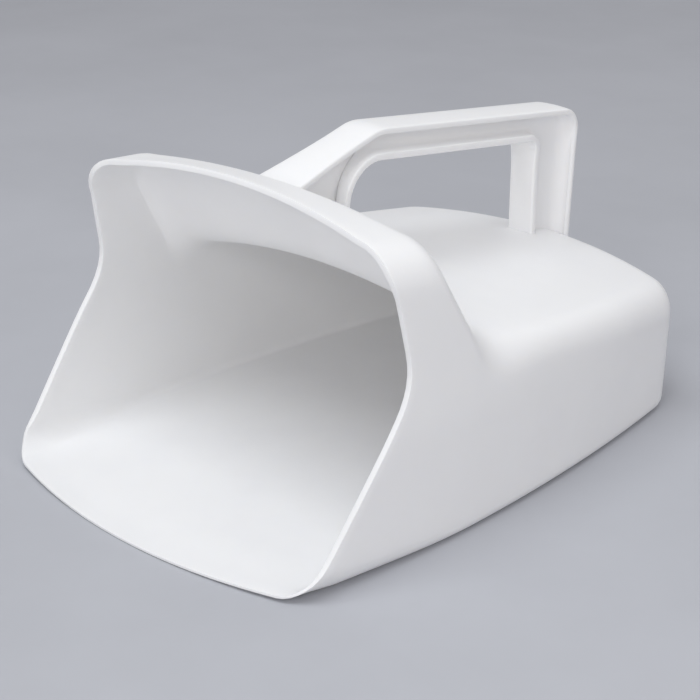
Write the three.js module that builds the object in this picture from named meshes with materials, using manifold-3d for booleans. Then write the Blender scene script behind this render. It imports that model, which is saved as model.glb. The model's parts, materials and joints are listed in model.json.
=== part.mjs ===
// Hand scoop for dry goods: one thin moulded body with a raised hood over the mouth and a D-shaped,
// I-section handle on top, split at its moulded feature lines into named regions.
// Millimetres, +Z up. The mouth faces -Y, the back faces +Y, and the floor's underside is z = 0.
import * as THREE from 'three';
import { ParametricGeometry } from 'three/addons/geometries/ParametricGeometry.js';
import { mergeVertices } from 'three/addons/utils/BufferGeometryUtils.js';
import Module from 'manifold-3d';

const wasm = await Module();
wasm.setup();

// Driving dimensions.
const wall = 2.3;             // thickness of the moulded shell
const gap = 0.3;              // clearance left between neighbouring regions
const plan = {
  halfWidth: 84.2,            // widest, at widestY
  widestY: 80,                // y = 0 is at the lip's corners
  sideRadius: 740,            // each side is bowed to this radius in plan
  lipBow: 12.5,               // the lip's middle stands this far forward of its corners
  backSide: 220,              // back wall at its corners
  backBow: 10,                // and this much further back at the middle
  backDraft: 0.03,            // the back part widens upwards by this slope
};
const rim = {                 // side view of the mouth, from the lip up to the hood
  lowerLean: 0.751,           // y gained for each mm of height, below the waist
  upperLean: -0.19,           // and above it
  waist: 66.2,                // height of the waist
  blend: 20,                  // height over which the waist is rounded
  waistNarrowing: 1.7,        // each side steps in by this much round the waist
  topNarrowing: 3.2,          // and by this much more up to the hood's top
  squareY: 170,               // sections behind here stand square to the floor
};
// Corners of the top outline in side view, [y, z], along each side and along the middle.
const topSide = { rim: [41.4, 110], ridge: [64, 109.5], valley: [87.5, 66], rear: [207, 53.4] };
const topMiddle = { rim: [46, 120.5], ridge: [66.5, 115.6], valley: [86, 78.4], rear: [217, 58.8] };
const ridgeRound = 5;         // how far the rounding reaches from each corner, along the outline
const valleyRound = 12;
const edge = {                // corner radii of the section
  lip: 12,                    // floor to side, at the lip
  floor: 5,                   // and further back
  top: 13,                    // side to top, at the rim and along the roof
  hood: 18,                   // and round the hood's ridge and valley
  hoodFrom: [30, 45],         // where the larger radius comes in,
  hoodTo: [90, 125],          // and where it goes out
  back: 13,
  least: 2.5,
};
const handle = {
  width: 16.6,                // flange width, across X
  flange: 2.8,                // flange thickness
  web: 3,                     // web thickness
  front: [58, 112.5],         // outer outline: inside the hood's ridge,
  bend: [111, 126.5],         // the bend over the strut,
  rear: [233.2, 110],         // the rear corner
  rearFoot: [229.6, 40],      // and the back of the post, down inside the back wall
  bendRadius: 22,
  rearRadius: 11,
  depth: 12.6,                // outer face to inner face along the grip
  openingFront: 95,           // finger opening, at the front leg
  openingRear: 205.4,         // and at the rear post
  openingFrontRadius: 15,
  openingRearRadius: 6,
};
// Where the regions meet, in side view.
const split = { floorZ: 11, hoodY: 84, backY: 202, belowShoulder: 12, strutY: 112, postY: 203 };
const opaqueWhite = { color: 0xeef0f2, roughness: 0.42, metalness: 0 };

// How many segments each stretch of the body's grid has.
const detail = { floor: 4, corner: 4, side: 9, top: 5, round: 4, roof: 7, back: 4, cap: 3, arc: 8 };
const margin = 60;            // how far cutting shapes run past the part
const weldDistance = 1e-4;
const plugHub = [30, 55];     // y and z that the mouth's end faces meet at

// ---- small helpers -------------------------------------------------------------------------------

function lerp(from, to, t) {
  return from + (to - from) * t;
}

function toSolid(geometry) {
  const bare = geometry.clone();
  bare.deleteAttribute('normal');
  bare.deleteAttribute('uv');
  const merged = mergeVertices(bare, weldDistance);
  const index = merged.index.array;
  const kept = [];
  for (let i = 0; i < index.length; i += 3) {
    const [a, b, c] = [index[i], index[i + 1], index[i + 2]];
    if (a !== b && b !== c && c !== a) {
      kept.push(a, b, c);
    }
  }
  return new wasm.Manifold(new wasm.Mesh({
    numProp: 3,
    vertProperties: new Float32Array(merged.attributes.position.array),
    triVerts: new Uint32Array(kept),
  }));
}

function toGeometry(solid) {
  const mesh = solid.getMesh();
  const geometry = new THREE.BufferGeometry();
  geometry.setAttribute('position', new THREE.BufferAttribute(mesh.vertProperties, 3));
  geometry.setIndex(new THREE.BufferAttribute(mesh.triVerts, 1));
  geometry.computeVertexNormals();
  return geometry;
}

// A closed outline in side view, as [y, z] corners with an optional rounding radius.
function sideShape(corners) {
  const shape = new THREE.Shape();
  const count = corners.length;
  corners.forEach(([y, z, radius = 0], i) => {
    const here = new THREE.Vector2(y, z);
    const before = new THREE.Vector2(...corners[(i + count - 1) % count].slice(0, 2)).sub(here).normalize();
    const after = new THREE.Vector2(...corners[(i + 1) % count].slice(0, 2)).sub(here).normalize();
    const halfAngle = Math.acos(THREE.MathUtils.clamp(before.dot(after), -1, 1)) / 2;
    const reach = radius / Math.tan(halfAngle);
    const start = before.multiplyScalar(reach).add(here);
    const end = after.multiplyScalar(reach).add(here);
    if (i === 0) {
      shape.moveTo(start.x, start.y);
    } else {
      shape.lineTo(start.x, start.y);
    }
    if (radius > 0) {
      shape.quadraticCurveTo(here.x, here.y, end.x, end.y);
    }
  });
  shape.closePath();
  return shape;
}

// Extrudes a side-view shape across X, from x = from to x = to.
function acrossX(shape, from, to) {
  const geometry = new THREE.ExtrudeGeometry(shape, {
    depth: to - from,
    bevelEnabled: false,
    curveSegments: detail.arc,
  });
  // The shape's (x, y) become the part's (y, z), and its depth runs along +X.
  const turn = new THREE.Matrix4().makeBasis(
    new THREE.Vector3(0, 1, 0),
    new THREE.Vector3(0, 0, 1),
    new THREE.Vector3(1, 0, 0),
  );
  geometry.applyMatrix4(turn);
  geometry.translate(from, 0, 0);
  return toSolid(geometry);
}

// ---- the moulded body, as a grid of rings from the mouth to the back ------------------------------

function rimReach(z) {
  const start = rim.waist - rim.blend / 2;
  const end = rim.waist + rim.blend / 2;
  const change = rim.upperLean - rim.lowerLean;
  if (z <= start) {
    return rim.lowerLean * z;
  }
  const into = Math.min(z, end) - start;
  const rounded = rim.lowerLean * (start + into) + change * into * into / (2 * rim.blend);
  return rounded + rim.upperLean * Math.max(z - end, 0);
}

function halfWidthAt(y, z) {
  const bowed = plan.halfWidth - (y - plan.widestY) ** 2 / (2 * plan.sideRadius);
  const height = topSide.rim[1] - rim.waist;
  const stepShare = THREE.MathUtils.smoothstep(z, rim.waist - height / 2, rim.waist + rim.blend / 2);
  const rise = Math.max(z - rim.waist, 0) / height;
  const narrowing = rim.waistNarrowing * stepShare + rim.topNarrowing * rise ** 1.5;
  const backShare = THREE.MathUtils.smoothstep(y, plan.widestY, plan.backSide);
  return bowed - narrowing + backShare * plan.backDraft * z;
}

// Points along the top outline: rim, rounded ridge, rounded valley, then the roof to the back.
function topOutline(corners) {
  const [first, ridge, valley, rear] = Object.values(corners).map((p) => new THREE.Vector2(...p));
  const towards = (from, to, reach) => to.clone().sub(from).setLength(reach).add(from);
  const ridgeCurve = new THREE.QuadraticBezierCurve(
    towards(ridge, first, ridgeRound), ridge, towards(ridge, valley, ridgeRound));
  const valleyCurve = new THREE.QuadraticBezierCurve(
    towards(valley, ridge, valleyRound), valley, towards(valley, rear, valleyRound));
  const roof = new THREE.LineCurve(valleyCurve.v2, rear);
  return [
    first,
    ...ridgeCurve.getPoints(detail.round),
    ...valleyCurve.getPoints(detail.round),
    ...roof.getPoints(detail.roof).slice(1),
  ];
}

// Moves an outline inwards (downwards) by inset, square to itself.
function insetOutline(points, inset) {
  return points.map((point, i) => {
    const before = points[Math.max(i - 1, 0)];
    const after = points[Math.min(i + 1, points.length - 1)];
    const along = after.clone().sub(before).normalize();
    return new THREE.Vector2(point.x + along.y * inset, point.y - along.x * inset);
  });
}

// Rings of the body, each with its top's side and middle points and its place along the floor.
function bodyRings(inset) {
  const sides = topOutline(topSide);
  const sidePoints = insetOutline(sides, inset);
  const middlePoints = insetOutline(topOutline(topMiddle), inset);
  const mouthY = sides[0].x;
  const rearY = sides[sides.length - 1].x;
  const rings = sides.map((outer, i) => {
    const share = Math.max(1 - (outer.x - mouthY) / (rim.squareY - mouthY), 0);
    const lag = mouthY * share ** 2;
    const along = (outer.x - mouthY) / (rearY - mouthY);
    return {
      side: sidePoints[i],
      middle: middlePoints[i],
      floorY: outer.x - lag,
      floorBow: lerp(-plan.lipBow, plan.backBow, along),
      lean: lag / rimReach(outer.y),
      inset,
    };
  });
  const last = rings[rings.length - 1];
  const backY = plan.backSide - inset;
  const radius = backY - last.side.x;
  const slope = (topSide.rear[1] - topSide.valley[1]) / (topSide.rear[0] - topSide.valley[0]);
  for (let i = 1; i <= detail.back; i += 1) {
    const angle = (i / detail.back) * Math.PI / 2;
    const run = radius * Math.sin(angle);
    const shrink = Math.min(radius, edge.back) * (1 - Math.cos(angle));
    rings.push({
      side: new THREE.Vector2(last.side.x + run, last.side.y + slope * run - shrink),
      middle: new THREE.Vector2(last.middle.x + run, last.middle.y + slope * run - shrink),
      floorY: last.floorY + run,
      floorBow: plan.backBow,
      lean: 0,
      inset: inset + shrink,
    });
  }
  return rings;
}

// Radius between side and top, for an outer ring whose top stands at y.
function topCornerAt(y) {
  const comesIn = THREE.MathUtils.smoothstep(y, ...edge.hoodFrom);
  const goesOut = THREE.MathUtils.smoothstep(y, ...edge.hoodTo);
  return lerp(edge.top, edge.hood, comesIn - goesOut);
}

// A point on a ring, with step running round half the section from the floor's middle to the top's.
function sectionPoint(ring, step, target) {
  const floorZ = ring.inset;
  const crown = ring.middle.y - ring.side.y;
  const lipShare = 1 - THREE.MathUtils.smoothstep(ring.floorY, 0, plan.widestY);
  const floorRadius = Math.max(lerp(edge.floor, edge.lip, lipShare) - ring.inset, edge.least);
  const topRadius = Math.max(topCornerAt(ring.side.x) - ring.inset, edge.least);
  const widthAt = (z) => halfWidthAt(ring.floorY + ring.lean * rimReach(z), z) - ring.inset;
  const topWidth = widthAt(ring.side.y);
  const tilt = Math.atan(2 * crown * (topWidth - topRadius) / topWidth ** 2);
  const touchX = topWidth - topRadius * (1 - Math.sin(tilt));
  const archZ = (x) => ring.side.y + crown * (1 - (x / topWidth) ** 2);
  const topCentreZ = archZ(touchX) - topRadius * Math.cos(tilt);

  let x = 0;
  let z = floorZ;
  let onTop = false;
  const cornerStart = detail.floor;
  const sideStart = cornerStart + detail.corner;
  const shoulderStart = sideStart + detail.side;
  const topStart = shoulderStart + detail.corner;
  if (step <= cornerStart) {
    x = (widthAt(floorZ + floorRadius) - floorRadius) * (step / detail.floor);
  } else if (step <= sideStart) {
    const angle = ((step - cornerStart) / detail.corner) * Math.PI / 2;
    x = widthAt(floorZ + floorRadius) - floorRadius * (1 - Math.sin(angle));
    z = floorZ + floorRadius * (1 - Math.cos(angle));
  } else if (step <= shoulderStart) {
    z = lerp(floorZ + floorRadius, topCentreZ, (step - sideStart) / detail.side);
    x = widthAt(z);
  } else if (step <= topStart) {
    const angle = ((step - shoulderStart) / detail.corner) * (Math.PI / 2 - tilt);
    z = topCentreZ + topRadius * Math.sin(angle);
    x = widthAt(topCentreZ) - topRadius * (1 - Math.cos(angle));
  } else {
    x = touchX * (1 - (step - topStart) / detail.top);
    z = archZ(x);
    onTop = true;
  }
  const across = 1 - Math.min(x / (topWidth + ring.inset), 1) ** 2;
  let y = ring.floorY + ring.lean * rimReach(Math.min(z, ring.side.y));
  if (step < shoulderStart) {
    y += ring.floorBow * across;
  } else {
    const share = onTop ? 1 : (z - topCentreZ) / (archZ(touchX) - topCentreZ);
    y = lerp(y, ring.side.x, share) + (ring.middle.x - ring.side.x) * across;
  }
  target.set(x, y, z);
}

// The whole body as a closed solid. A positive mouthReach carries the mouth forward as a plug.
function bodySolid(inset, mouthReach) {
  const rings = bodyRings(inset);
  const halfSteps = detail.floor + 2 * detail.corner + detail.side + detail.top;
  const mouthCaps = 1 + (mouthReach > 0 ? 1 : 0);
  const rows = mouthCaps + rings.length - 1 + detail.cap;
  const lastRing = rings[rings.length - 1];
  const backWidth = halfWidthAt(lastRing.floorY, lastRing.side.y);
  const place = (u, v, target) => {
    const row = Math.round(v * rows);
    const turn = Math.round(u * 2 * halfSteps) % (2 * halfSteps);
    const step = turn <= halfSteps ? turn : 2 * halfSteps - turn;
    const ringIndex = THREE.MathUtils.clamp(row - mouthCaps, 0, rings.length - 1);
    sectionPoint(rings[ringIndex], step, target);
    if (turn < halfSteps) {
      target.x = -target.x;
    }
    if (row < mouthCaps && mouthReach > 0) {
      target.y -= mouthReach;
    }
    if (row === 0) {
      target.set(0, plugHub[0] - mouthReach, plugHub[1]);
    }
    const capRow = row - mouthCaps - rings.length + 1;
    if (capRow > 0) {
      const share = 1 - capRow / detail.cap;
      target.set(target.x * share, lastRing.floorY, lerp(topSide.rear[1] / 2, target.z, share));
      target.y += plan.backBow * (1 - (target.x / backWidth) ** 2);
    }
  };
  return toSolid(new ParametricGeometry(place, 2 * halfSteps, rows));
}

const outerBody = bodySolid(0, 0);
const shell = outerBody.subtract(bodySolid(wall, margin));

// ---- the regions of the body, cut from it by side-view shapes --------------------------------------

const half = gap / 2;
const highZ = handle.bend[1] + margin;
const behindY = plan.backSide + margin;
const roofFall = (topSide.rear[1] - topSide.valley[1]) / (topSide.rear[0] - topSide.valley[0]);
const shoulderZ = (y) => topSide.valley[1] + roofFall * (y - topSide.valley[0]) - split.belowShoulder;
const wide = plan.halfWidth + margin;

function cutFrom(solid, corners, from = -wide, to = wide) {
  return solid.intersect(acrossX(sideShape(corners), from, to));
}

const sideCorners = [
  [-margin, split.floorZ + half],
  [split.backY - half, split.floorZ + half],
  [split.backY - half, shoulderZ(split.backY) - half],
  [split.hoodY, shoulderZ(split.hoodY) - half],
  [-margin, shoulderZ(split.hoodY) - half],
];
const bodyRegions = {
  floor_pan: cutFrom(shell, [
    [-margin, -margin],
    [behindY, -margin],
    [behindY, split.floorZ - half],
    [-margin, split.floorZ - half],
  ]),
  side_wall_right: cutFrom(shell, sideCorners, 0, wide),
  side_wall_left: cutFrom(shell, sideCorners, -wide, 0),
  back_wall: cutFrom(shell, [
    [split.backY + half, split.floorZ + half],
    [behindY, split.floorZ + half],
    [behindY, shoulderZ(behindY) - half],
    [split.backY + half, shoulderZ(split.backY) - half],
  ]),
  roof_panel: cutFrom(shell, [
    [split.hoodY + half, shoulderZ(split.hoodY) + half],
    [behindY, shoulderZ(behindY) + half],
    [behindY, highZ],
    [split.hoodY + half, highZ],
  ]),
  front_hood: cutFrom(shell, [
    [-margin, shoulderZ(split.hoodY) + half],
    [split.hoodY - half, shoulderZ(split.hoodY) + half],
    [split.hoodY - half, highZ],
    [-margin, highZ],
  ]),
};

// ---- the handle: a solid outline, less the finger opening and a channel in each face ----------------

// The closed outline of the handle, drawn in by inset from its outer face.
function handleOutline(inset) {
  const [bendY, bendZ] = handle.bend;
  const [rearY, rearZ] = handle.rear;
  const strutSlope = (bendZ - handle.front[1]) / (bendY - handle.front[0]);
  const gripSlope = (rearZ - bendZ) / (rearY - bendY);
  const strutDrop = inset * Math.hypot(1, strutSlope);
  const gripDrop = inset * Math.hypot(1, gripSlope);
  const bendShift = (strutDrop - gripDrop) / (strutSlope - gripSlope);
  return [
    [handle.front[0], handle.front[1] - strutDrop],
    [bendY + bendShift, bendZ - strutDrop + strutSlope * bendShift, handle.bendRadius],
    [rearY - inset, rearZ - gripDrop - gripSlope * inset, Math.max(handle.rearRadius - inset, 2)],
    [handle.rearFoot[0] - inset, handle.rearFoot[1]],
    [handle.front[0], handle.rearFoot[1]],
  ];
}

// The finger opening, grown by outset on every side.
function openingOutline(outset) {
  const gripSlope = (handle.rear[1] - handle.bend[1]) / (handle.rear[0] - handle.bend[0]);
  const topZ = (y) => handle.bend[1] + gripSlope * (y - handle.bend[0]) - handle.depth + outset;
  const frontY = handle.openingFront - outset;
  const rearY = handle.openingRear + outset;
  return [
    [frontY, 0],
    [frontY, topZ(frontY), handle.openingFrontRadius + outset],
    [rearY, topZ(rearY), handle.openingRearRadius + outset],
    [rearY, 0],
  ];
}

function handleSolid() {
  const across = handle.width / 2;
  const block = acrossX(sideShape(handleOutline(0)), -across, across);
  const opening = acrossX(sideShape(openingOutline(0)), -margin, margin);
  const innerFlange = acrossX(sideShape(openingOutline(handle.flange)), -margin, margin);
  const channel = (from, to) => {
    const inside = acrossX(sideShape(handleOutline(handle.flange)), from, to);
    return inside.subtract(innerFlange);
  };
  const left = channel(-margin, -handle.web / 2);
  const right = channel(handle.web / 2, margin);
  return block.subtract(opening).subtract(left).subtract(right);
}

// The handle stands just clear of the body and of the cavity below its roof.
const handleAbove = handleSolid().subtract(bodySolid(-gap, 0));
const handleRegions = {
  handle_strut: cutFrom(handleAbove, [
    [-margin, 0],
    [split.strutY - half, 0],
    [split.strutY - half, highZ],
    [-margin, highZ],
  ]),
  handle_grip: cutFrom(handleAbove, [
    [split.strutY + half, 0],
    [split.postY - half, 0],
    [split.postY - half, highZ],
    [split.strutY + half, highZ],
  ]),
  handle_post: cutFrom(handleAbove, [
    [split.postY + half, 0],
    [behindY, 0],
    [behindY, highZ],
    [split.postY + half, highZ],
  ]),
};

// ---- the assembly, with its origin under the middle of the footprint --------------------------------

const group = new THREE.Group();
const frontY = -plan.lipBow;
const backY = handle.rear[0];
for (const [name, solid] of Object.entries({ ...bodyRegions, ...handleRegions })) {
  const region = new THREE.Mesh(toGeometry(solid), new THREE.MeshStandardMaterial(opaqueWhite));
  region.name = name;
  region.position.y = -(frontY + backY) / 2;
  group.add(region);
}
export default group;
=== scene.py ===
import json
import math
import bmesh
import bpy
from mathutils import Matrix, Vector
from mathutils.bvhtree import BVHTree

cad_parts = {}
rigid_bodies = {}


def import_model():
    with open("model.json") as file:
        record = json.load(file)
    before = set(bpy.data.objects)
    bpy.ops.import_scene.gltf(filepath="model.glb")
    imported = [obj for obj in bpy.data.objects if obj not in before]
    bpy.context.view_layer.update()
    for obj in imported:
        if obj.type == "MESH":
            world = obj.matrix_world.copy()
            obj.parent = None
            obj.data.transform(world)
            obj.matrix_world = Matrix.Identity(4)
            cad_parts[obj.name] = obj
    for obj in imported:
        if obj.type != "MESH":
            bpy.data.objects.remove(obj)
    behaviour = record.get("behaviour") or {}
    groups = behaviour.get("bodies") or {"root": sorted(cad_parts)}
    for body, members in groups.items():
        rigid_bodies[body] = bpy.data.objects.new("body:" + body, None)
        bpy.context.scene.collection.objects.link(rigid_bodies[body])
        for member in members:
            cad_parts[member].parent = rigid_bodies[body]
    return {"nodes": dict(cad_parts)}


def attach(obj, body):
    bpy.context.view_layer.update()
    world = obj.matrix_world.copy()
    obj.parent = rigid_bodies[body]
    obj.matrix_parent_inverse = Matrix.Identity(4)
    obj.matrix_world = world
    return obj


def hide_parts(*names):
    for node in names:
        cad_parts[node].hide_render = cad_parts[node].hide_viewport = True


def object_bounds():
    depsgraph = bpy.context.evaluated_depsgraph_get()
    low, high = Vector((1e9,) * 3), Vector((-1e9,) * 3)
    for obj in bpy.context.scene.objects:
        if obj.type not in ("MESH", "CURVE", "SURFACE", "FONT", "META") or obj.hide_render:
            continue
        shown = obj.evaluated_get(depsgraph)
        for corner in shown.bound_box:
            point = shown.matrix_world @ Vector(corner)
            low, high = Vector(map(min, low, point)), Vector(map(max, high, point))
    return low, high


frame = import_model()
cadBox = [list(corner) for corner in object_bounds()]
mm = 0.001
allNodes = list(frame["nodes"])
bodyNodes = [name for name in allNodes if not name.startswith("handle_")]
handleNodes = [name for name in allNodes if name.startswith("handle_")]

# Body of the scoop, in millimetres: y runs back from the lip's corners, z up from the floor.
shellSpec = {
    "wall": 2.3,
    "halfWidth": 84.2,       # at its widest, widestY
    "widestY": 80.0,
    "sideRadius": 740.0,     # how the sides bow in plan
    "lipBow": 12.5,          # the lip's middle stands forward of its corners
    "backSide": 220.0,       # back wall at its corners
    "backBow": 10.0,
    "backDraft": 0.03,       # the back part widens upwards
    "lowerLean": 0.751,      # lean of the mouth's side edge below the waist
    "upperLean": -0.19,      # and above it
    "waist": 66.2,
    "waistBlend": 20.0,
    "waistNarrowing": 1.7,   # each side steps in by this round the waist
    "topNarrowing": 3.2,     # and by this much more up to the hood's top
    "squareY": 170.0,        # rings behind here stand square to the floor
    "topSide": [(41.4, 110.0), (64.0, 109.5), (87.5, 66.0), (207.0, 53.4)],
    "topMiddle": [(46.0, 120.5), (66.5, 115.6), (86.0, 78.4), (217.0, 58.8)],
    "ridgeReach": 6.0,
    "valleyReach": 13.0,
    "lipCorner": 12.0,       # radius from floor to side at the mouth
    "floorCorner": 5.0,      # and further back
    "topCorner": 13.0,       # radius from side to top, at the rim and along the roof
    "hoodCorner": 18.0,      # and round the hood's ridge and valley
    "hoodFrom": (30.0, 45.0),
    "hoodTo": (90.0, 125.0),
    "edgeRound": 0.7,        # rounding of the mouth's rim
    "lipEdge": 0.5,          # share of that rounding at the lip
    "lipLift": (0.3, 2.0),   # the lip's underside rises by this at its middle and its corners
    "lipTop": (2.0, 16.0),   # heights between which the lip's shape gives way to the rim's
    "taper": 18.0,           # how far behind the mouth the wall starts to thin
    "lipShare": 0.4,         # what is left of the wall at the lip
    "rimShare": (1.0, 0.92),  # and at the rim's sides and top
    "leastCorner": 2.5,
    "sharpAngle": 50.0,      # degrees between faces at the mouth's sharp edges
}
shellDetail = {"floor": 18, "corner": 8, "side": 22, "band": 5, "ridge": 8, "slope": 6,
               "valley": 10, "roof": 18, "back": 9}


def smoothStep(value, low, high):
    t = min(max((value - low) / (high - low), 0.0), 1.0)
    return t * t * (3 - 2 * t)


def blendTo(a, b, t):
    return a + (b - a) * t


def rimReach(z):  # how far back the mouth's side edge stands at a height
    s = shellSpec
    start = s["waist"] - s["waistBlend"] / 2
    end = s["waist"] + s["waistBlend"] / 2
    if z <= start:
        return s["lowerLean"] * z
    into = min(z, end) - start
    bend = (s["upperLean"] - s["lowerLean"]) * into * into / (2 * s["waistBlend"])
    return s["lowerLean"] * (start + into) + bend + s["upperLean"] * max(z - end, 0.0)


def halfWidthAt(y, z):
    s = shellSpec
    bowed = s["halfWidth"] - (y - s["widestY"]) ** 2 / (2 * s["sideRadius"])
    height = s["topSide"][0][1] - s["waist"]
    stepShare = smoothStep(z, s["waist"] - height / 2, s["waist"] + s["waistBlend"] / 2)
    narrowing = s["waistNarrowing"] * stepShare
    narrowing += s["topNarrowing"] * (max(z - s["waist"], 0.0) / height) ** 1.5
    return bowed - narrowing + smoothStep(y, s["widestY"], s["backSide"]) * s["backDraft"] * z


def spread(a, b, count):  # points from a up to, but without, b
    return [a.lerp(b, i / count) for i in range(count)]


def bend(before, corner, after, reach, count):  # a rounded corner, both ends included
    start = corner + (before - corner).normalized() * reach
    end = corner + (after - corner).normalized() * reach
    shares = [i / count for i in range(count + 1)]
    return [start.lerp(corner, t).lerp(corner.lerp(end, t), t) for t in shares]


def topLine(corners):
    rim, ridge, valley, rear = [Vector(c) for c in corners]
    d = shellDetail
    ridgeArc = bend(rim, ridge, valley, shellSpec["ridgeReach"], d["ridge"])
    valleyArc = bend(ridge, valley, rear, shellSpec["valleyReach"], d["valley"])
    line = spread(rim, ridgeArc[0], d["band"]) + ridgeArc[:-1]
    line += spread(ridgeArc[-1], valleyArc[0], d["slope"]) + valleyArc[:-1]
    return line + spread(valleyArc[-1], rear, d["roof"]) + [rear]


def bodyRings():
    s = shellSpec
    sides, middles = topLine(s["topSide"]), topLine(s["topMiddle"])
    mouthY, rearY = sides[0].x, sides[-1].x
    rings = []
    for side, middle in zip(sides, middles):
        share = max(1 - (side.x - mouthY) / (s["squareY"] - mouthY), 0.0)
        lag = mouthY * share ** 2
        along = (side.x - mouthY) / (rearY - mouthY)
        rings.append({"side": side, "middle": middle, "floorY": side.x - lag, "shrink": 0.0,
                      "floorBow": blendTo(-s["lipBow"], s["backBow"], along),
                      "lean": lag / rimReach(side.y)})
    last = rings[-1]
    radius = s["backSide"] - rearY
    slope = (s["topSide"][3][1] - s["topSide"][2][1]) / (s["topSide"][3][0] - s["topSide"][2][0])
    for i in range(1, shellDetail["back"] + 1):
        angle = i / shellDetail["back"] * math.pi / 2
        run, shrink = radius * math.sin(angle), radius * (1 - math.cos(angle))
        step = Vector((run, slope * run - shrink))
        rings.append({"side": last["side"] + step, "middle": last["middle"] + step, "shrink": shrink,
                      "floorY": last["floorY"] + run, "floorBow": s["backBow"], "lean": 0.0})
    return rings


def sectionPoint(ring, step):  # from the floor's middle round to the roof's middle
    s, d = shellSpec, shellDetail
    shrink = ring["shrink"]
    sideTop, middleTop = ring["side"], ring["middle"]
    crown = middleTop.y - sideTop.y
    lipShare = 1 - smoothStep(ring["floorY"], 0.0, s["widestY"])
    floorRadius = max(blendTo(s["floorCorner"], s["lipCorner"], lipShare) - shrink, s["leastCorner"])
    inHood = smoothStep(sideTop.x, *s["hoodFrom"]) - smoothStep(sideTop.x, *s["hoodTo"])
    topRadius = max(blendTo(s["topCorner"], s["hoodCorner"], inHood) - shrink, s["leastCorner"])

    def widthAt(z):
        return halfWidthAt(ring["floorY"] + ring["lean"] * rimReach(z), z) - shrink

    topWidth = widthAt(sideTop.y)
    tilt = math.atan(2 * crown * (topWidth - topRadius) / topWidth ** 2)
    touchX = topWidth - topRadius * (1 - math.sin(tilt))

    def archZ(x):
        return sideTop.y + crown * (1 - (x / topWidth) ** 2)

    centreZ = archZ(touchX) - topRadius * math.cos(tilt)
    edgeWidth = widthAt(shrink + floorRadius)
    counts = [d["floor"], d["corner"], d["side"], d["corner"], d["floor"]]
    stretch = 0
    while step > counts[stretch]:
        step -= counts[stretch]
        stretch += 1
    t = step / counts[stretch]
    if stretch == 0:
        x, z = (edgeWidth - floorRadius) * t, shrink
    elif stretch == 1:
        x = edgeWidth - floorRadius * (1 - math.sin(t * math.pi / 2))
        z = shrink + floorRadius * (1 - math.cos(t * math.pi / 2))
    elif stretch == 2:
        z = blendTo(shrink + floorRadius, centreZ, t)
        x = widthAt(z)
    elif stretch == 3:
        angle = t * (math.pi / 2 - tilt)
        x = widthAt(centreZ) - topRadius * (1 - math.cos(angle))
        z = centreZ + topRadius * math.sin(angle)
    else:
        x = touchX * (1 - t)
        z = archZ(x)
    across = 1 - min(x / (topWidth + shrink), 1.0) ** 2
    y = ring["floorY"] + ring["lean"] * rimReach(min(z, sideTop.y))
    if stretch < 3:
        y += ring["floorBow"] * across
    else:
        share = (z - centreZ) / (archZ(touchX) - centreZ) if stretch == 3 else 1.0
        y = blendTo(y, sideTop.x, share) + (middleTop.x - sideTop.x) * across
    return Vector((x, y, z))


def thinning(p, front):  # wall share and lift of a point behind the mouth's point in front
    s = shellSpec
    near = 1 - smoothStep(p.y - front.y, 0.0, s["taper"])
    low = 1 - smoothStep(front.z, *s["lipTop"])
    rim = blendTo(*s["rimShare"], smoothStep(front.z, s["waist"], s["topSide"][0][1]))
    share = blendTo(1.0, blendTo(rim, s["lipShare"], low), near)
    return share, near * low * blendTo(*s["lipLift"], (front.x / s["halfWidth"]) ** 2)


def makeBody():
    d = shellDetail
    half = 2 * d["floor"] + 2 * d["corner"] + d["side"]
    rings = bodyRings()
    rows, wallShares = [], []
    mouth = [sectionPoint(rings[0], step) for step in range(half + 1)]
    for ring in rings:
        right = [sectionPoint(ring, step) for step in range(half + 1)]
        shares = []
        for p, front in zip(right, mouth):
            share, lift = thinning(p, front)
            shares.append(share)
            p.z += lift
        wallShares += shares + shares[-2:0:-1]
        left = [Vector((-p.x, p.y, p.z)) for p in reversed(right[1:-1])]
        rows.append(right + left)
    around = 2 * half
    points = [p for row in rows for p in row]
    faces = []
    for i in range(len(rows) - 1):
        for j in range(around):
            k = (j + 1) % around
            faces.append((i * around + j, (i + 1) * around + j, (i + 1) * around + k, i * around + k))

    # The back wall is one patch of straight rows between the last ring's four sides.
    base = (len(rows) - 1) * around
    wide = d["floor"] + d["corner"] // 2
    tall = d["side"] + d["corner"]
    grid = {}
    for i in range(-wide, wide + 1):
        grid[i, 0] = base + i % around
        grid[i, tall] = base + (half - i) % around
    for j in range(tall + 1):
        grid[wide, j] = base + wide + j
        grid[-wide, j] = base + (-wide - j) % around

    def spot(i, j):
        return points[grid[i, j]]

    backWidth = rows[-1][d["floor"] + d["corner"] + d["side"] // 2].x + rings[-1]["shrink"]
    fresh = {}
    for i in range(-wide + 1, wide):
        for j in range(1, tall):
            u, v = (i + wide) / (2 * wide), j / tall
            edges = spot(-wide, j) * (1 - u) + spot(wide, j) * u + spot(i, 0) * (1 - v) + spot(i, tall) * v
            corners = (spot(-wide, 0) * (1 - u) + spot(wide, 0) * u) * (1 - v)
            corners += (spot(-wide, tall) * (1 - u) + spot(wide, tall) * u) * v
            fresh[i, j] = edges - corners
    for key, p in fresh.items():
        p.y = shellSpec["backSide"] + shellSpec["backBow"] * (1 - (p.x / backWidth) ** 2)
        grid[key] = len(points)
        points.append(p)
    for i in range(-wide, wide):
        for j in range(tall):
            faces.append((grid[i, j], grid[i, j + 1], grid[i + 1, j + 1], grid[i + 1, j]))
    wallShares += [1.0] * len(fresh)
    return points, faces, wallShares


def makePiece(name, points, faces):
    mesh = bpy.data.meshes.new(name)
    mesh.from_pydata(points, [], faces)
    mesh.validate()
    mesh.shade_smooth()
    piece = bpy.data.objects.new(name, mesh)
    bpy.context.scene.collection.objects.link(piece)
    return piece


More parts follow.
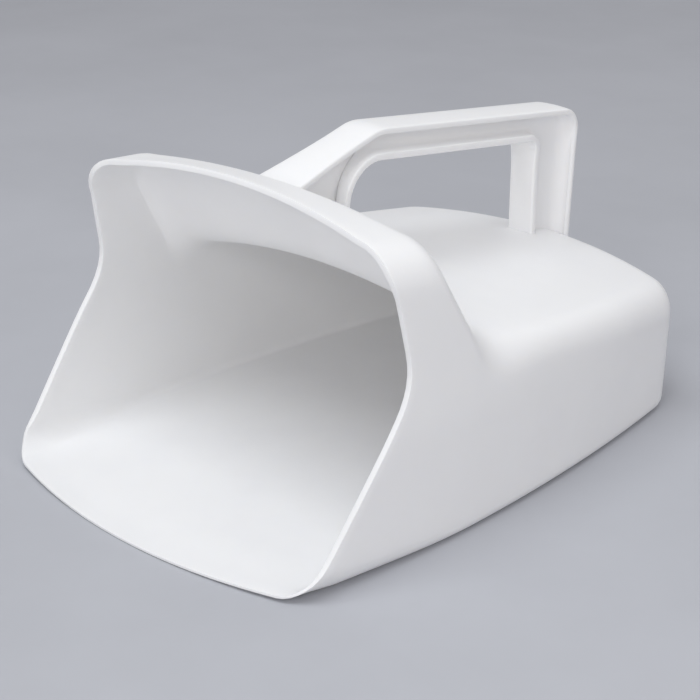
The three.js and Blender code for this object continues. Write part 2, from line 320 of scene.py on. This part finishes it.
def applyModifiers(piece):
    done = bpy.data.meshes.new_from_object(piece.evaluated_get(bpy.context.evaluated_depsgraph_get()))
    piece.modifiers.clear()
    piece.data = done
    done.shade_smooth()


def toFrame(piece):  # from the body's own millimetres to metres in the frame
    lipY = cadBox[0][1] + shellSpec["lipBow"] * mm
    piece.data.transform(Matrix.Translation((0, lipY, 0)) @ Matrix.Scale(mm, 4))


def rimWeights(piece):  # how much of the edge rounding each sharp edge of the mouth gets
    edges = bmesh.new()
    edges.from_mesh(piece.data)
    weight = edges.edges.layers.float.new("bevel_weight_edge")
    for edge in edges.edges:
        if edge.calc_face_angle(0.0) > math.radians(shellSpec["sharpAngle"]):
            height = (edge.verts[0].co.z + edge.verts[1].co.z) / 2
            edge[weight] = blendTo(shellSpec["lipEdge"], 1.0, smoothStep(height, *shellSpec["lipTop"]))
    edges.to_mesh(piece.data)
    edges.free()


bodyPoints, bodyFaces, wallShares = makeBody()
skin = BVHTree.FromPolygons(bodyPoints, bodyFaces)
scoopShell = makePiece("scoop_shell", bodyPoints, bodyFaces)
thicken = scoopShell.modifiers.new("wall", "SOLIDIFY")
thicken.thickness = shellSpec["wall"]
thicken.offset = -1
thicken.use_even_offset = True
wallGroup = scoopShell.vertex_groups.new(name="wall")
for index, share in enumerate(wallShares):
    wallGroup.add([index], share, "REPLACE")
thicken.vertex_group = "wall"
applyModifiers(scoopShell)
rimWeights(scoopShell)
soften = scoopShell.modifiers.new("rim", "BEVEL")
soften.width = shellSpec["edgeRound"]
soften.segments = 3
soften.limit_method = "WEIGHT"
applyModifiers(scoopShell)
toFrame(scoopShell)
print("body:", len(scoopShell.data.polygons), "faces")

# Handle, in the same millimetres: an I-section ribbon bent round the finger opening.
handleSpec = {
    "front": (52.0, 110.9),      # outer outline in side view, its start sunk in the hood
    "bend": (111.0, 126.5),
    "rear": (233.2, 110.0),
    "rearFoot": (229.6, 40.0),
    "bendRadius": 22.0,
    "rearRadius": 11.0,
    "depth": 12.6,               # of the grip
    "openingFront": 95.0,
    "openingRear": 205.4,
    "openingFrontRadius": 15.0,
    "openingRearRadius": 6.0,
    "halfWidth": 8.3,
    "footFlare": 2.2,            # the front leg widens by this towards the hood
    "flareFrom": 100.0,          # y at which the widening starts
    "flareRun": 31.0,            # and the distance over which it reaches footFlare
    "flareMost": 1.3,            # it goes on to this many times that distance
    "openingFoot": (45.0, 40.0),  # heights at which the opening's front and rear lines start
    "postHalfWidth": 6.3,        # of the post's inner flange
    "halfWeb": 1.5,
    "flange": 2.8,
    "postFlange": 3.8,           # the post's outer flange is heavier
    "edge": 0.8,                 # rounding of the flanges' edges
    "postEdge": 2.0,
    "channel": 1.8,              # fillet between web and outer flange
    "postChannel": 5.6,
    "innerChannel": 4.2,         # and between web and inner flange
    "draft": 0.4,
    "crown": 0.35,               # the outer face is slightly crowned
    "footFillet": 1.0,
    "footFlush": (0.1, 0.6),     # the fillet fades where handle and body face the same way
    "sunk": 1.3,                 # how deep the feet end inside the wall
    "innerEdge": 0.7,            # share of the edge rounding on a flange's inner side
    "crowding": 1.6,             # how strongly the rows crowd towards the feet
    "postFrom": 2,               # stations before the rear arc at which the post's section starts
    "postTo": 6,                 # and after it at which it is complete
}
handleDetail = {"leg": 34, "frontArc": 14, "grip": 36, "rearArc": 12, "post": 40, "web": 5,
                "search": 60, "halvings": 14}


def arcCorner(before, corner, after, radius, count):
    a, b = (before - corner).normalized(), (after - corner).normalized()
    half = math.acos(max(-1, min(1, a.dot(b)))) / 2
    reach = radius / math.tan(half)
    centre = corner + (a + b).normalized() * radius / math.sin(half)
    start, end = corner + a * reach - centre, corner + b * reach - centre
    turn = start.angle_signed(end)
    return [centre + Matrix.Rotation(-turn * i / count, 2) @ start for i in range(count + 1)]


def handleLine(corners, radii):
    d = handleDetail
    foot, first, second, end = corners
    frontArc = arcCorner(foot, first, second, radii[0], d["frontArc"])
    rearArc = arcCorner(first, second, end, radii[1], d["rearArc"])
    line = spread(foot, frontArc[0], d["leg"]) + frontArc[:-1]
    line += spread(frontArc[-1], rearArc[0], d["grip"]) + rearArc[:-1]
    return line + spread(rearArc[-1], end, d["post"]) + [end]


def shiftedCorners(corners, inset):  # moves a run of corners towards the opening
    lines = []
    for a, b in zip(corners, corners[1:]):
        across = (b - a).normalized().orthogonal()
        lines.append((a - across * inset, b - across * inset))
    moved = [lines[0][0]]
    for (a, b), (c, d) in zip(lines, lines[1:]):
        p, q = b - a, d - c
        moved.append(a + p * ((c - a).cross(q) / p.cross(q)))
    return moved + [lines[-1][1]]


def handleLines():  # outer face, inside of its flange, outside of the inner flange, opening
    h = handleSpec
    outer = [Vector(h[key]) for key in ("front", "bend", "rear", "rearFoot")]
    gripLine = shiftedCorners(outer, h["depth"])
    slope = (outer[2].y - outer[1].y) / (outer[2].x - outer[1].x)
    opening = []
    frontLow, rearLow = h["openingFoot"]
    for y, low in ((h["openingFront"], frontLow), (h["openingRear"], rearLow)):
        high = gripLine[1].y + slope * (y - gripLine[1].x)
        opening += [Vector((y, low)), Vector((y, high))]
    opening = [opening[0], opening[1], opening[3], opening[2]]
    f = h["flange"]
    return [
        handleLine(outer, (h["bendRadius"], h["rearRadius"])),
        handleLine(shiftedCorners(outer, f), (h["bendRadius"] - f, h["rearRadius"] - f)),
        handleLine(shiftedCorners(opening, -f),
                   (h["openingFrontRadius"] + f, h["openingRearRadius"] + f)),
        handleLine(opening, (h["openingFrontRadius"], h["openingRearRadius"])),
    ]


def flangeProfile(halfWidth, flange, edge, channel, crown):  # x and depth, face to web
    h = handleSpec
    inner = min(edge, flange - edge) * h["innerEdge"]
    quarter = math.pi / 2
    profile = [((halfWidth - edge) * i / 4, crown * (i / 4) ** 2) for i in range(5)]
    for i in range(1, 5):
        a = quarter * i / 4
        profile.append((halfWidth - edge * (1 - math.sin(a)), crown + edge * (1 - math.cos(a))))
    for i in range(4):
        a = quarter * i / 3
        profile.append((halfWidth - inner * (1 - math.cos(a)), flange - inner * (1 - math.sin(a))))
    start, end = halfWidth - inner, h["halfWeb"] + channel
    for i in range(1, 4):
        profile.append((blendTo(start, end, i / 3), flange + h["draft"] * i / 3))
    for i in range(1, 6):
        a = quarter * i / 5
        depth = flange + h["draft"] + channel * (1 - math.cos(a))
        profile.append((h["halfWeb"] + channel * (1 - math.sin(a)), depth))
    return profile


def atDepth(face, inside, beyond, depth):
    flange = (inside - face).length
    if depth <= flange:
        return face.lerp(inside, depth / flange)
    return inside + (beyond - inside).normalized() * (depth - flange)


def handleSection(lines, u):  # half the section at station u, from outer face to opening
    h, d = handleSpec, handleDetail
    i = min(int(u), len(lines[0]) - 2)
    face, inside, outside, opening = [line[i].lerp(line[i + 1], u - i) for line in lines]
    gripEnd = d["leg"] + d["frontArc"] + d["grip"]
    post = smoothStep(u, gripEnd - h["postFrom"], gripEnd + d["rearArc"] + h["postTo"])
    widening = min(max((h["flareFrom"] - face.x) / h["flareRun"], 0.0), h["flareMost"])
    flare = h["footFlare"] * widening ** 1.5
    outer = flangeProfile(h["halfWidth"] + flare, blendTo(h["flange"], h["postFlange"], post),
                          blendTo(h["edge"], h["postEdge"], post),
                          blendTo(h["channel"], h["postChannel"], post), h["crown"])
    inner = flangeProfile(blendTo(h["halfWidth"], h["postHalfWidth"], post), h["flange"],
                          h["edge"], blendTo(h["innerChannel"], h["channel"], post), 0.0)
    half = []
    for x, depth in outer:
        p = atDepth(face, inside, outside, depth)
        half.append(Vector((x, p.x, p.y)))
    back = []
    for x, depth in inner:
        p = atDepth(opening, outside, inside, depth)
        back.append(Vector((x, p.x, p.y)))
    web = [half[-1].lerp(back[-1], i / d["web"]) for i in range(1, d["web"])]
    return half + web + back[::-1]


def clearance(p):  # signed distance to the body's outer surface, and that surface's normal
    near, normal = skin.find_nearest(p)[:2]
    return (p - near).dot(normal), normal


def footStation(lines, column, top, bottom):  # where a column has sunk into the wall
    u, step = top, (bottom - top) / handleDetail["search"]
    while abs(u - top) < abs(bottom - top) and clearance(handleSection(lines, u)[column])[0] > 0.0:
        u += step
    low, high = u - step, u + 4 * step
    for i in range(handleDetail["halvings"]):
        middle = (low + high) / 2
        if clearance(handleSection(lines, middle)[column])[0] > -handleSpec["sunk"]:
            low = middle
        else:
            high = middle
    return (low + high) / 2


def makeHandle():
    h, d = handleSpec, handleDetail
    lines = handleLines()
    arcEnd = d["leg"]
    postStart = d["leg"] + d["frontArc"] + d["grip"] + d["rearArc"]
    last = postStart + d["post"]
    columns = len(handleSection(lines, arcEnd))
    feet = [footStation(lines, j, arcEnd, 0) for j in range(columns)]
    rearFeet = [footStation(lines, j, postStart, last) for j in range(columns)]
    rows = []
    for i in range(last + 1):
        if i < arcEnd:
            share = (i / d["leg"]) ** h["crowding"]
            at = [blendTo(foot, arcEnd, share) for foot in feet]
            rows.append([handleSection(lines, u)[j] for j, u in enumerate(at)])
        elif i > postStart:
            share = 1 - ((last - i) / d["post"]) ** h["crowding"]
            at = [blendTo(postStart, foot, share) for foot in rearFeet]
            rows.append([handleSection(lines, u)[j] for j, u in enumerate(at)])
        else:
            rows.append(handleSection(lines, i))
    around = 2 * columns - 2
    points = []
    for row in rows:
        points += row + [Vector((-p.x, p.y, p.z)) for p in row[-2:0:-1]]
    faces = []
    for i in range(last):
        for j in range(around):
            k = (j + 1) % around
            faces.append((i * around + j, i * around + k, (i + 1) * around + k, (i + 1) * around + j))
    for base, flip in ((0, True), (last * around, False)):
        for j in range(columns - 1):
            a, b = base + j, base + j + 1
            c, e = base + (around - j - 1) % around, base + (around - j) % around
            face = [a, b, c, e] if j > 0 else [a, b, c]
            face = [a, b, e] if j == columns - 2 else face
            faces.append(tuple(reversed(face)) if flip else tuple(face))
    return points, faces


def flareFeet(mesh):  # fillets where the handle grows out of the body
    radius = handleSpec["footFillet"]
    blendNormals = [v.normal.copy() for v in mesh.vertices]
    for v in mesh.vertices:
        height, normal = clearance(v.co)
        if height >= radius:
            continue
        rise = max(height + 0.1, 0.0)
        out = radius - math.sqrt(max(radius ** 2 - (radius - rise) ** 2, 0.0))
        out *= 1 - smoothStep(v.normal.dot(normal), *handleSpec["footFlush"])
        v.co += v.normal * out
        for i in range(2):
            now, upward = clearance(v.co)
            v.co += upward * (height - now)
        share = min(out / radius, 1.0)
        blendNormals[v.index] = v.normal.lerp(clearance(v.co)[1], share).normalized()
    return blendNormals


handlePoints, handleFaces = makeHandle()
gripHandle = makePiece("grip_handle", handlePoints, handleFaces)
footNormals = flareFeet(gripHandle.data)
toFrame(gripHandle)
gripHandle.data.normals_split_custom_set_from_vertices(footNormals)
print("handle:", len(handleFaces), "faces")

for piece, replaced in ((scoopShell, bodyNodes), (gripHandle, handleNodes)):
    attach(piece, "root")
    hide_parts(*replaced)

# Finishes: a natural white polypropylene with the fine grain of its mould.
plasticSpec = {
    "colour": (0.93, 0.93, 0.932, 1),
    "cloudy": (0.9, 0.9, 0.907, 1),
    "cloudScale": 14.0,
    "roughness": 0.40,
    "grainScale": 2400.0,
    "grain": 0.006,          # heights of grain, waviness and scratches are in millimetres
    "waviness": 0.05,
    "scratch": 0.005,
    "translucency": 0.25,
    "glowColour": (1.0, 0.95, 0.85),
    "glowDepth": 0.004,      # in metres
    "ior": 1.49,
}


def addNode(tree, kind, **settings):
    node = tree.nodes.new("ShaderNode" + kind)
    for key, value in settings.items():
        if key in node.inputs:
            node.inputs[key].default_value = value
        else:
            setattr(node, key, value)
    return node


def wire(tree, source, target):  # a number, or the output that feeds the socket
    if isinstance(source, (int, float, tuple)):
        target.default_value = source
    else:
        tree.links.new(source, target)


def sums(tree, operation, a, b=0.0, c=0.0):
    node = addNode(tree, "Math", operation=operation)
    for value, socket in zip((a, b, c), node.inputs):
        wire(tree, value, socket)
    return node.outputs[0]


def mixedColour(tree, factor, a, b):
    node = addNode(tree, "Mix", data_type="RGBA")
    for value, index in ((factor, 0), (a, 6), (b, 7)):
        wire(tree, value, node.inputs[index])
    return node.outputs[2]


def rangeOf(tree, value, low, high, toLow=0.0, toHigh=1.0):
    node = addNode(tree, "MapRange", interpolation_type="SMOOTHSTEP")
    for source, index in ((value, 0), (low, 1), (high, 2), (toLow, 3), (toHigh, 4)):
        wire(tree, source, node.inputs[index])
    return node.outputs[0]


def stretchedNoise(tree, place, stretch, turn, scale):
    mapping = addNode(tree, "Mapping", Scale=stretch, Rotation=turn)
    noise = addNode(tree, "TexNoise", Scale=scale, Detail=2.0, Roughness=0.5)
    tree.links.new(place, mapping.inputs["Vector"])
    tree.links.new(mapping.outputs[0], noise.inputs["Vector"])
    return noise.outputs["Fac"]


def mouldedSkinGroup():  # colour, roughness and height of a moulded plastic surface
    group = bpy.data.node_groups.new("mouldedSkin", "ShaderNodeTree")
    face = group.interface
    for name, kind in (("Colour", "Color"), ("Cloudy", "Color"), ("Cloud Scale", "Float"),
                       ("Grain Scale", "Float"), ("Grain", "Float"), ("Waviness", "Float"),
                       ("Scratch", "Float"), ("Roughness", "Float"), ("Worn", "Float")):
        face.new_socket(name, in_out="INPUT", socket_type="NodeSocket" + kind)
    for name, kind in (("Colour", "Color"), ("Roughness", "Float"), ("Height", "Float")):
        face.new_socket(name, in_out="OUTPUT", socket_type="NodeSocket" + kind)
    given = group.nodes.new("NodeGroupInput").outputs
    result = group.nodes.new("NodeGroupOutput").inputs
    place = addNode(group, "TexCoord").outputs["Object"]

    clouds = addNode(group, "TexNoise", Detail=4.0, Roughness=0.6)
    wire(group, place, clouds.inputs["Vector"])
    wire(group, given["Cloud Scale"], clouds.inputs["Scale"])
    cloud = rangeOf(group, clouds.outputs["Fac"], 0.35, 0.7)
    wire(group, mixedColour(group, cloud, given["Colour"], given["Cloudy"]), result["Colour"])

    grain = addNode(group, "TexNoise", Detail=1.0)
    wire(group, place, grain.inputs["Vector"])
    wire(group, given["Grain Scale"], grain.inputs["Scale"])
    waves = addNode(group, "TexNoise", Scale=38.0, Detail=1.0)
    wire(group, place, waves.inputs["Vector"])

    # Fine scratches run mostly front to back, with a few across.
    along = stretchedNoise(group, place, (1.0, 0.035, 1.0), (0.0, 0.0, 0.12), 900.0)
    across = stretchedNoise(group, place, (0.04, 1.0, 1.0), (0.0, 0.1, 0.35), 700.0)
    scratches = sums(group, "MAXIMUM", rangeOf(group, along, 0.66, 0.74),
                     rangeOf(group, across, 0.7, 0.78))
    patches = rangeOf(group, clouds.outputs["Fac"], 0.45, 0.62)
    scratches = sums(group, "MULTIPLY", sums(group, "MULTIPLY", scratches, patches), given["Worn"])

    height = sums(group, "MULTIPLY", grain.outputs["Fac"], given["Grain"])
    height = sums(group, "MULTIPLY_ADD", waves.outputs["Fac"], given["Waviness"], height)
    dent = sums(group, "MULTIPLY", scratches, given["Scratch"])
    wire(group, sums(group, "SUBTRACT", height, dent), result["Height"])
    rough = sums(group, "MULTIPLY_ADD", cloud, 0.05, given["Roughness"])
    rough = sums(group, "MULTIPLY_ADD", grain.outputs["Fac"], 0.04, rough)
    wire(group, sums(group, "MULTIPLY_ADD", scratches, 0.12, rough), result["Roughness"])
    return group


mouldedSkin = mouldedSkinGroup()


def makePlastic(name, wearMask):
    s = plasticSpec
    material = bpy.data.materials.new(name)
    material.use_nodes = True
    tree = material.node_tree
    shader = tree.nodes["Principled BSDF"]
    skinNode = tree.nodes.new("ShaderNodeGroup")
    skinNode.node_tree = mouldedSkin
    for key, value in (("Colour", s["colour"]), ("Cloudy", s["cloudy"]),
                       ("Cloud Scale", s["cloudScale"]), ("Grain Scale", s["grainScale"]),
                       ("Grain", s["grain"]), ("Waviness", s["waviness"]),
                       ("Scratch", s["scratch"]), ("Roughness", s["roughness"])):
        skinNode.inputs[key].default_value = value
    wire(tree, wearMask(tree), skinNode.inputs["Worn"])
    bump = addNode(tree, "Bump", Strength=1.0, Distance=mm)
    wire(tree, skinNode.outputs["Height"], bump.inputs["Height"])
    wire(tree, skinNode.outputs["Colour"], shader.inputs["Base Color"])
    wire(tree, skinNode.outputs["Roughness"], shader.inputs["Roughness"])
    wire(tree, bump.outputs["Normal"], shader.inputs["Normal"])
    shader.inputs["IOR"].default_value = s["ior"]
    shader.inputs["Subsurface Weight"].default_value = s["translucency"]
    shader.inputs["Subsurface Radius"].default_value = s["glowColour"]
    shader.inputs["Subsurface Scale"].default_value = s["glowDepth"]
    return material


def scoopingWear(tree):  # most on the floor and the lip, fading upwards
    parts = addNode(tree, "SeparateXYZ")
    wire(tree, addNode(tree, "TexCoord").outputs["Object"], parts.inputs[0])
    return rangeOf(tree, parts.outputs["Z"], 0.0, 0.05, 1.0, 0.25)


def handWear(tree):  # on the grip's top
    parts = addNode(tree, "SeparateXYZ")
    wire(tree, addNode(tree, "TexCoord").outputs["Object"], parts.inputs[0])
    return rangeOf(tree, parts.outputs["Z"], 0.08, 0.12, 0.2, 0.8)


scoopShell.data.materials.clear()
scoopShell.data.materials.append(makePlastic("scoopPolypropylene", scoopingWear))
gripHandle.data.materials.clear()
gripHandle.data.materials.append(makePlastic("handlePolypropylene", handWear))
print("finishes done")

# Studio: a plain pale floor, a large soft light overhead and weaker ones beside it.
studioSpec = {
    "floorSize": 9.0,
    "floorColour": (0.47, 0.48, 0.515, 1),
    "floorMottle": 1.06,     # how much paler the floor's faint patches are
    "floorRoughness": 0.85,
    "world": (0.9, 0.885, 0.905, 1),
    "worldStrength": 0.46,
    "lights": [  # name, place, aimed at, size, power, colour
        ("overhead", (0.0, -0.42, 1.25), (0.0, 0.0, 0.05), (1.1, 0.9), 8.8, (0.94, 0.975, 1.0)),
        ("frontFill", (0.75, -1.4, 0.7), (0.0, 0.0, 0.05), (1.2, 0.8), 7.6, (1.0, 0.985, 0.97)),
        ("sideFill", (1.5, 0.1, 0.6), (0.0, 0.0, 0.05), (1.0, 0.8), 1.9, (1.0, 0.97, 0.95)),
        ("backLight", (0.2, 1.3, 0.9), (0.0, 0.0, 0.08), (1.0, 0.5), 1.5, (0.94, 0.97, 1.0)),
    ],
}


def makeFloor():
    s = studioSpec
    half = s["floorSize"] / 2
    mesh = bpy.data.meshes.new("studio_floor")
    corners = [(-half, -half, 0), (half, -half, 0), (half, half, 0), (-half, half, 0)]
    mesh.from_pydata(corners, [], [(0, 1, 2, 3)])
    floor = bpy.data.objects.new("studio_floor", mesh)
    bpy.context.scene.collection.objects.link(floor)
    material = bpy.data.materials.new("studioFloor")
    material.use_nodes = True
    tree = material.node_tree
    shader = tree.nodes["Principled BSDF"]
    noise = addNode(tree, "TexNoise", Scale=7.0, Detail=5.0, Roughness=0.6)
    wire(tree, addNode(tree, "TexCoord").outputs["Object"], noise.inputs["Vector"])
    paler = tuple(c * s["floorMottle"] for c in s["floorColour"][:3]) + (1,)
    mixed = mixedColour(tree, rangeOf(tree, noise.outputs["Fac"], 0.3, 0.7), s["floorColour"], paler)
    wire(tree, mixed, shader.inputs["Base Color"])
    shader.inputs["Roughness"].default_value = s["floorRoughness"]
    mesh.materials.append(material)
    return floor


def makeLight(name, place, target, size, power, colour):
    data = bpy.data.lights.new(name, "AREA")
    data.shape = "RECTANGLE"
    data.size, data.size_y = size
    data.energy = power
    data.color = colour
    light = bpy.data.objects.new(name, data)
    light.location = place
    light.rotation_euler = (Vector(target) - Vector(place)).to_track_quat("-Z", "Y").to_euler()
    bpy.context.scene.collection.objects.link(light)


makeFloor()
for lightSpec in studioSpec["lights"]:
    makeLight(*lightSpec)
world = bpy.data.worlds.new("studio")
world.use_nodes = True
world.node_tree.nodes["Background"].inputs["Color"].default_value = studioSpec["world"]
world.node_tree.nodes["Background"].inputs["Strength"].default_value = studioSpec["worldStrength"]
bpy.context.scene.world = world
bpy.context.scene.view_settings.view_transform = "Standard"

cameraSpec = {"aim": (-0.0017, -0.00515, 0.0364), "distance": 0.70, "azimuth": 43.94,
              "elevation": 23.35, "roll": 0.185, "lens": 92.77}


def makeCamera():
    s = cameraSpec
    a, e = math.radians(s["azimuth"]), math.radians(s["elevation"])
    back = Vector((math.sin(a) * math.cos(e), -math.cos(a) * math.cos(e), math.sin(e)))
    camera = bpy.data.objects.new("camera", bpy.data.cameras.new("camera"))
    camera.data.lens = s["lens"]
    camera.location = Vector(s["aim"]) + back * s["distance"]
    turn = (-back).to_track_quat("-Z", "Y").to_matrix().to_4x4()
    turn = turn @ Matrix.Rotation(math.radians(s["roll"]), 4, "Z")
    camera.rotation_euler = turn.to_euler()
    bpy.context.scene.collection.objects.link(camera)
    bpy.context.scene.camera = camera


makeCamera()
